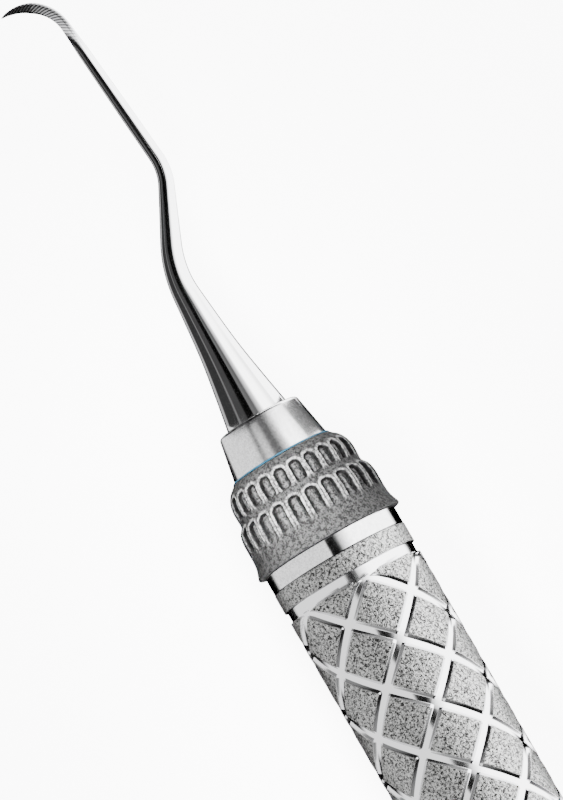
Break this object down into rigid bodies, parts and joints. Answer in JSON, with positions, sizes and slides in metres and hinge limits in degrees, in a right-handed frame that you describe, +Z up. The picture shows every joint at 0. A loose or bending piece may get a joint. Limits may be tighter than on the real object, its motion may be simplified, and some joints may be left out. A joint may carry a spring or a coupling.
{
  "type": "hand scaler",
  "caption": "Slim double-ended dental hand scaler: knurled round handle, ribbed silicone grips and screw-in bent shanks that end in curved sickle blades.",
  "frame": {"origin": "centre of the handle, on its axis", "axes": "+X along the handle towards the front working end, +Z up from the surface that the instrument lies on; both working ends are bent in the XY plane"},
  "size_m": [0.1762, 0.0102, 0.0102],
  "materials": {
    "satin_steel": "stainless steel, crossed helical grooves polished, raised diamonds sand-blasted",
    "turned_steel": "stainless steel, finely turned and satin-polished",
    "polished_steel": "hardened stainless steel, mirror-polished shank, ground blade sides",
    "grey_silicone": "matt dark grey silicone",
    "blue_band": "matt blue silicone colour-code band",
    "seal_rubber": "black rubber O-ring"
  },
  "bodies": {
    "handle": {"handle_tube": "satin_steel", "front_socket": "turned_steel", "front_grip_ring": "grey_silicone", "front_code_band": "blue_band", "rear_socket": "turned_steel", "rear_grip_ring": "grey_silicone", "rear_code_band": "blue_band"},
    "front_seal": {"front_tip_seal": "seal_rubber"},
    "front_tip": {"front_working_end": "polished_steel"},
    "rear_seal": {"rear_tip_seal": "seal_rubber"},
    "rear_tip": {"rear_working_end": "polished_steel"}
  },
  "joints": [
    {"name": "front_tip_travel", "type": "slide", "parent": "handle", "child": "front_seal", "axis": [1, 0, 0], "range_m": [0, 0.0036]},
    {"name": "front_tip_turn", "type": "hinge", "parent": "front_seal", "child": "front_tip", "pos_m": [0.0572, 0, 0], "axis": [1, 0, 0], "range_deg": [0, 1621]},
    {"name": "rear_tip_travel", "type": "slide", "parent": "handle", "child": "rear_seal", "axis": [-1, 0, 0], "range_m": [0, 0.0036]},
    {"name": "rear_tip_turn", "type": "hinge", "parent": "rear_seal", "child": "rear_tip", "pos_m": [-0.0572, 0, 0], "axis": [-1, 0, 0], "range_deg": [0, 1621]}
  ],
  "couplings": [
    {"joint": "front_tip_turn", "follows": "front_tip_travel", "rad_per_m": 7854},
    {"joint": "rear_tip_turn", "follows": "rear_tip_travel", "rad_per_m": 7854}
  ]
}
